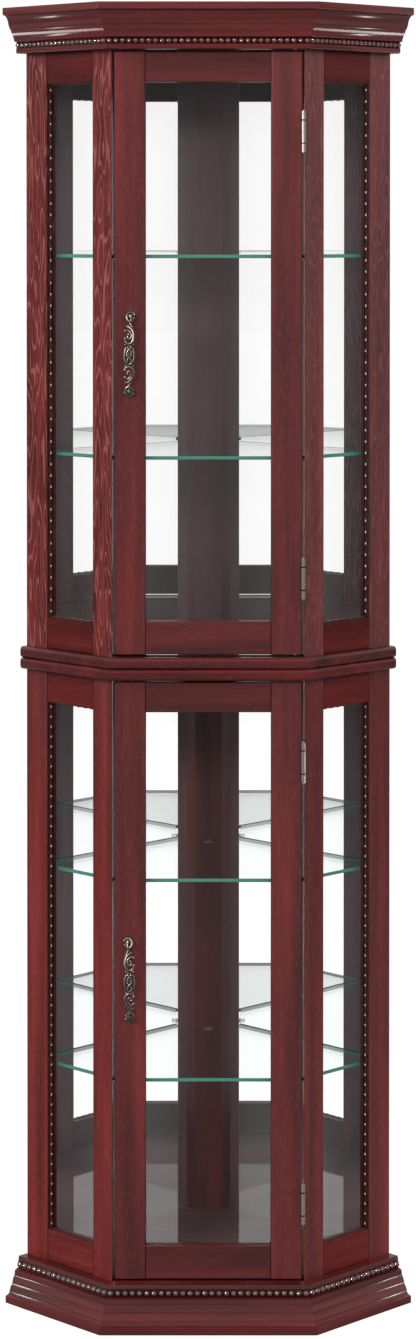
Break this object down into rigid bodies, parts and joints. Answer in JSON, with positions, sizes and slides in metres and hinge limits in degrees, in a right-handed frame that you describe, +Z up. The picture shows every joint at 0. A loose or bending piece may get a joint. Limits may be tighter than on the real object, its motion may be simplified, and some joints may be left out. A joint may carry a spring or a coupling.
{
  "type": "corner curio cabinet",
  "caption": "Tall five-sided corner curio cabinet: two glazed units with hinged doors, glass shelves, mirrored backs, a moulded crown and base with bead rows.",
  "frame": {"origin": "centre of the footprint's bounding rectangle, on the floor", "axes": "+Z up, +Y from the doors towards the corner of the room, +X to the right of someone who faces the doors"},
  "size_m": [0.5782, 0.4274, 1.829],
  "materials": {
    "mahogany_wood": "mahogany stain under semi-gloss lacquer",
    "carcass_wood": "stained wood, satin",
    "bare_wood": "bare beech",
    "back_board": "brown hardboard, matt",
    "clear_glass": "clear float glass",
    "shelf_glass": "clear float glass with ground green edges",
    "mirror": "silvered mirror glass",
    "antique_pewter": "cast metal with a darkened antique pewter finish",
    "nickel_plate": "nickel-plated pressed steel",
    "catch_plastic": "brown moulded plastic",
    "support_plastic": "translucent moulded plastic"
  },
  "bodies": {
    "cabinet": {"base_moulding_front": "mahogany_wood", "base_moulding_left": "mahogany_wood", "base_moulding_right": "mahogany_wood", "ceiling_board": "mahogany_wood", "crown_moulding_front": "mahogany_wood", "crown_moulding_left": "mahogany_wood", "crown_moulding_right": "mahogany_wood", "crown_rails": "carcass_wood", "floor_board": "mahogany_wood", "frame_hinge_leaves": "nickel_plate", "hinge_pins": "nickel_plate", "joining_dowels": "bare_wood", "lower_back_boards": "back_board", "lower_corner_post": "mahogany_wood", "lower_left_front_stile": "mahogany_wood", "lower_left_glass": "clear_glass", "lower_left_mirror": "mirror", "lower_left_rails": "mahogany_wood", "lower_left_rear_stile": "mahogany_wood", "lower_right_front_stile": "mahogany_wood", "lower_right_glass": "clear_glass", "lower_right_mirror": "mirror", "lower_right_rails": "mahogany_wood", "lower_right_rear_stile": "mahogany_wood", "lower_shelf_1": "shelf_glass", "lower_shelf_2": "shelf_glass", "lower_top_board": "mahogany_wood", "magnetic_catches": "catch_plastic", "plinth_rails": "carcass_wood", "shelf_supports": "support_plastic", "upper_back_boards": "back_board", "upper_corner_post": "mahogany_wood", "upper_floor_board": "mahogany_wood", "upper_left_front_stile": "mahogany_wood", "upper_left_glass": "clear_glass", "upper_left_mirror": "mirror", "upper_left_rails": "mahogany_wood", "upper_left_rear_stile": "mahogany_wood", "upper_right_front_stile": "mahogany_wood", "upper_right_glass": "clear_glass", "upper_right_mirror": "mirror", "upper_right_rails": "mahogany_wood", "upper_right_rear_stile": "mahogany_wood", "upper_shelf_1": "shelf_glass", "upper_shelf_2": "shelf_glass"},
    "upper_door": {"upper_door_glass": "clear_glass", "upper_door_handle": "antique_pewter", "upper_door_hinge_leaves": "nickel_plate", "upper_door_hinge_stile": "mahogany_wood", "upper_door_latch_stile": "mahogany_wood", "upper_door_rails": "mahogany_wood", "upper_door_strike_plate": "nickel_plate"},
    "lower_door": {"lower_door_glass": "clear_glass", "lower_door_handle": "antique_pewter", "lower_door_hinge_leaves": "nickel_plate", "lower_door_hinge_stile": "mahogany_wood", "lower_door_latch_stile": "mahogany_wood", "lower_door_rails": "mahogany_wood", "lower_door_strike_plate": "nickel_plate"}
  },
  "joints": [
    {"name": "upper_door_hinge", "type": "hinge", "parent": "cabinet", "child": "upper_door", "pos_m": [0.13101, -0.1733, 1.3471], "axis": [0, 0, 1], "range_deg": [0, 170]},
    {"name": "lower_door_hinge", "type": "hinge", "parent": "cabinet", "child": "lower_door", "pos_m": [0.13101, -0.1733, 0.4789], "axis": [0, 0, 1], "range_deg": [0, 170]}
  ]
}
